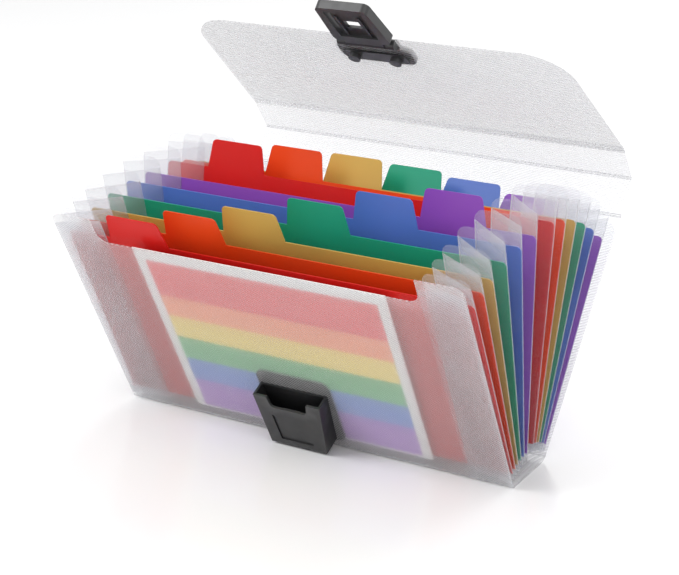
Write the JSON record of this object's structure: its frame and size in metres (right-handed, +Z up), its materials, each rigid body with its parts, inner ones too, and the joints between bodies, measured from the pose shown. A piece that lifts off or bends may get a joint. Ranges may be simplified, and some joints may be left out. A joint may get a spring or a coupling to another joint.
{
  "type": "expanding file",
  "caption": "Expanding accordion file with coloured index dividers, clear gussets and a fold-over flap with a plastic buckle, standing open as a fan.",
  "frame": {"origin": "on the floor, at the middle of the crease between the base strip and the front cover", "axes": "+X to the file's right, -Y towards the front cover, +Z up"},
  "size_m": [0.18, 0.1577, 0.1755],
  "materials": {
    "frosted_cover": "frosted polypropylene with fine diagonal lines",
    "clear_gusset": "clear thin polypropylene film",
    "printed_card": "card printed with six colour bands",
    "black_plastic": "moulded, satin",
    "divider_red": "translucent coloured polypropylene",
    "divider_orange": "translucent coloured polypropylene",
    "divider_yellow": "translucent coloured polypropylene",
    "divider_green": "translucent coloured polypropylene",
    "divider_blue": "translucent coloured polypropylene",
    "divider_purple": "translucent coloured polypropylene"
  },
  "bodies": {
    "base": {"cover_base": "frosted_cover"},
    "front_cover": {"front_cover": "frosted_cover", "front_gusset_flange": "clear_gusset", "insert_card": "printed_card", "socket": "black_plastic", "socket_catch": "black_plastic", "socket_plate": "black_plastic", "socket_studs": "black_plastic"},
    "back_cover": {"back_cover": "frosted_cover", "back_gusset_flange": "clear_gusset"},
    "top_strip_low": {"top_strip_low": "frosted_cover"},
    "top_strip_high": {"top_strip_high": "frosted_cover"},
    "flap_root": {"flap_root": "frosted_cover"},
    "flap": {"flap": "frosted_cover", "latch_mount": "black_plastic", "hinge_pin": "black_plastic", "latch_pegs": "black_plastic", "latch_washer": "black_plastic"},
    "latch_frame": {"latch_frame": "black_plastic", "latch_tongue": "black_plastic"},
    "middle_pleats": {"pleat_07": "clear_gusset"},
    "divider_01": {"divider_01": "divider_red", "ears_01": "clear_gusset", "pleat_01": "clear_gusset"},
    "divider_02": {"divider_02": "divider_orange", "ears_02": "clear_gusset", "pleat_02": "clear_gusset"},
    "divider_03": {"divider_03": "divider_yellow", "ears_03": "clear_gusset", "pleat_03": "clear_gusset"},
    "divider_04": {"divider_04": "divider_green", "ears_04": "clear_gusset", "pleat_04": "clear_gusset"},
    "divider_05": {"divider_05": "divider_blue", "ears_05": "clear_gusset", "pleat_05": "clear_gusset"},
    "divider_06": {"divider_06": "divider_purple", "ears_06": "clear_gusset", "pleat_06": "clear_gusset"},
    "divider_12": {"divider_12": "divider_purple", "ears_12": "clear_gusset", "pleat_13": "clear_gusset"},
    "divider_11": {"divider_11": "divider_blue", "ears_11": "clear_gusset", "pleat_12": "clear_gusset"},
    "divider_10": {"divider_10": "divider_green", "ears_10": "clear_gusset", "pleat_11": "clear_gusset"},
    "divider_09": {"divider_09": "divider_yellow", "ears_09": "clear_gusset", "pleat_10": "clear_gusset"},
    "divider_08": {"divider_08": "divider_orange", "ears_08": "clear_gusset", "pleat_09": "clear_gusset"},
    "divider_07": {"divider_07": "divider_red", "ears_07": "clear_gusset", "pleat_08": "clear_gusset"}
  },
  "joints": [
    {"name": "back_cover_fold", "type": "hinge", "parent": "base", "child": "back_cover", "pos_m": [0, 0.03, 0.00197], "axis": [1, 0, 0], "range_deg": [0, 40.5]},
    {"name": "front_cover_fold", "type": "hinge", "parent": "base", "child": "front_cover", "pos_m": [0, 0, 0.0003], "axis": [1, 0, 0], "range_deg": [-27, 0]},
    {"name": "pocket_01_fold", "type": "hinge", "parent": "front_cover", "child": "divider_01", "pos_m": [0, 0.00027, 0.00231], "axis": [1, 0, 0], "range_deg": [0, 1.6], "deforming": ["pleat_01"]},
    {"name": "pocket_02_fold", "type": "hinge", "parent": "divider_01", "child": "divider_02", "pos_m": [0, 0.00235, 0.0033], "axis": [1, 0, 0], "range_deg": [0, 3.2], "deforming": ["pleat_02"]},
    {"name": "pocket_03_fold", "type": "hinge", "parent": "divider_02", "child": "divider_03", "pos_m": [0, 0.00449, 0.00417], "axis": [1, 0, 0], "range_deg": [0, 3.5], "deforming": ["pleat_03"]},
    {"name": "pocket_04_fold", "type": "hinge", "parent": "divider_03", "child": "divider_04", "pos_m": [0, 0.00668, 0.00491], "axis": [1, 0, 0], "range_deg": [0, 5.7], "deforming": ["pleat_04"]},
    {"name": "pocket_05_fold", "type": "hinge", "parent": "divider_04", "child": "divider_05", "pos_m": [0, 0.00893, 0.00543], "axis": [1, 0, 0], "range_deg": [0, 6.7], "deforming": ["pleat_05"]},
    {"name": "pocket_06_fold", "type": "hinge", "parent": "divider_05", "child": "divider_06", "pos_m": [0, 0.01122, 0.00568], "axis": [1, 0, 0], "range_deg": [0, 6.8], "deforming": ["pleat_06"]},
    {"name": "pocket_13_fold", "type": "hinge", "parent": "back_cover", "child": "divider_12", "pos_m": [0, 0.02912, 0.00272], "axis": [1, 0, 0], "range_deg": [-5.7, 0], "deforming": ["pleat_13"]},
    {"name": "pocket_12_fold", "type": "hinge", "parent": "divider_12", "child": "divider_11", "pos_m": [0, 0.02723, 0.00404], "axis": [1, 0, 0], "range_deg": [-5.5, 0], "deforming": ["pleat_12"]},
    {"name": "pocket_11_fold", "type": "hinge", "parent": "divider_11", "child": "divider_10", "pos_m": [0, 0.02522, 0.00517], "axis": [1, 0, 0], "range_deg": [-5.3, 0], "deforming": ["pleat_11"]},
    {"name": "pocket_10_fold", "type": "hinge", "parent": "divider_10", "child": "divider_09", "pos_m": [0, 0.02311, 0.0061], "axis": [1, 0, 0], "range_deg": [-5.5, 0], "deforming": ["pleat_10"]},
    {"name": "pocket_09_fold", "type": "hinge", "parent": "divider_09", "child": "divider_08", "pos_m": [0, 0.02092, 0.00684], "axis": [1, 0, 0], "range_deg": [-5.5, 0], "deforming": ["pleat_09"]},
    {"name": "pocket_08_fold", "type": "hinge", "parent": "divider_08", "child": "divider_07", "pos_m": [0, 0.01867, 0.00736], "axis": [1, 0, 0], "range_deg": [-5.2, 0], "deforming": ["pleat_08"]},
    {"name": "pocket_07_fold", "type": "hinge", "parent": "divider_06", "child": "middle_pleats", "pos_m": [0, 0.03066, -0.01572], "axis": [1, 0, 0], "range_deg": [0, 7.3], "deforming": ["pleat_07"]},
    {"name": "strip_fold", "type": "hinge", "parent": "back_cover", "child": "top_strip_low", "pos_m": [0, 0.09917, 0.08295], "axis": [1, 0, 0], "range_deg": [0, 80.4]},
    {"name": "strip_bend", "type": "hinge", "parent": "top_strip_low", "child": "top_strip_high", "pos_m": [0, 0.10889, 0.09689], "axis": [1, 0, 0], "range_deg": [-92.5, 0]},
    {"name": "root_fold", "type": "hinge", "parent": "top_strip_high", "child": "flap_root", "pos_m": [0, 0.099, 0.11072], "axis": [1, 0, 0], "range_deg": [0, 62.1]},
    {"name": "flap_fold", "type": "hinge", "parent": "flap_root", "child": "flap", "pos_m": [0, 0.09668, 0.11263], "axis": [1, 0, 0], "range_deg": [-100, 39]},
    {"name": "latch_swing", "type": "hinge", "parent": "flap", "child": "latch_frame", "pos_m": [0, 0.04383, 0.1562], "axis": [1, 0, 0], "range_deg": [-95, 0]}
  ],
  "couplings": [
    {"joint": "front_cover_fold", "follows": "back_cover_fold", "ratio": -0.66667},
    {"joint": "pocket_01_fold", "follows": "back_cover_fold", "ratio": 0.039506},
    {"joint": "pocket_02_fold", "follows": "back_cover_fold", "ratio": 0.079012},
    {"joint": "pocket_03_fold", "follows": "back_cover_fold", "ratio": 0.08642},
    {"joint": "pocket_04_fold", "follows": "back_cover_fold", "ratio": 0.14074},
    {"joint": "pocket_05_fold", "follows": "back_cover_fold", "ratio": 0.16543},
    {"joint": "pocket_06_fold", "follows": "back_cover_fold", "ratio": 0.1679},
    {"joint": "pocket_13_fold", "follows": "back_cover_fold", "ratio": -0.14074},
    {"joint": "pocket_12_fold", "follows": "back_cover_fold", "ratio": -0.1358},
    {"joint": "pocket_11_fold", "follows": "back_cover_fold", "ratio": -0.13086},
    {"joint": "pocket_10_fold", "follows": "back_cover_fold", "ratio": -0.1358},
    {"joint": "pocket_09_fold", "follows": "back_cover_fold", "ratio": -0.1358},
    {"joint": "pocket_08_fold", "follows": "back_cover_fold", "ratio": -0.1284},
    {"joint": "pocket_07_fold", "follows": "back_cover_fold", "ratio": 0.18025},
    {"joint": "strip_fold", "follows": "back_cover_fold", "ratio": 1.9852},
    {"joint": "strip_bend", "follows": "back_cover_fold", "ratio": -2.284},
    {"joint": "root_fold", "follows": "back_cover_fold", "ratio": 1.5333}
  ]
}
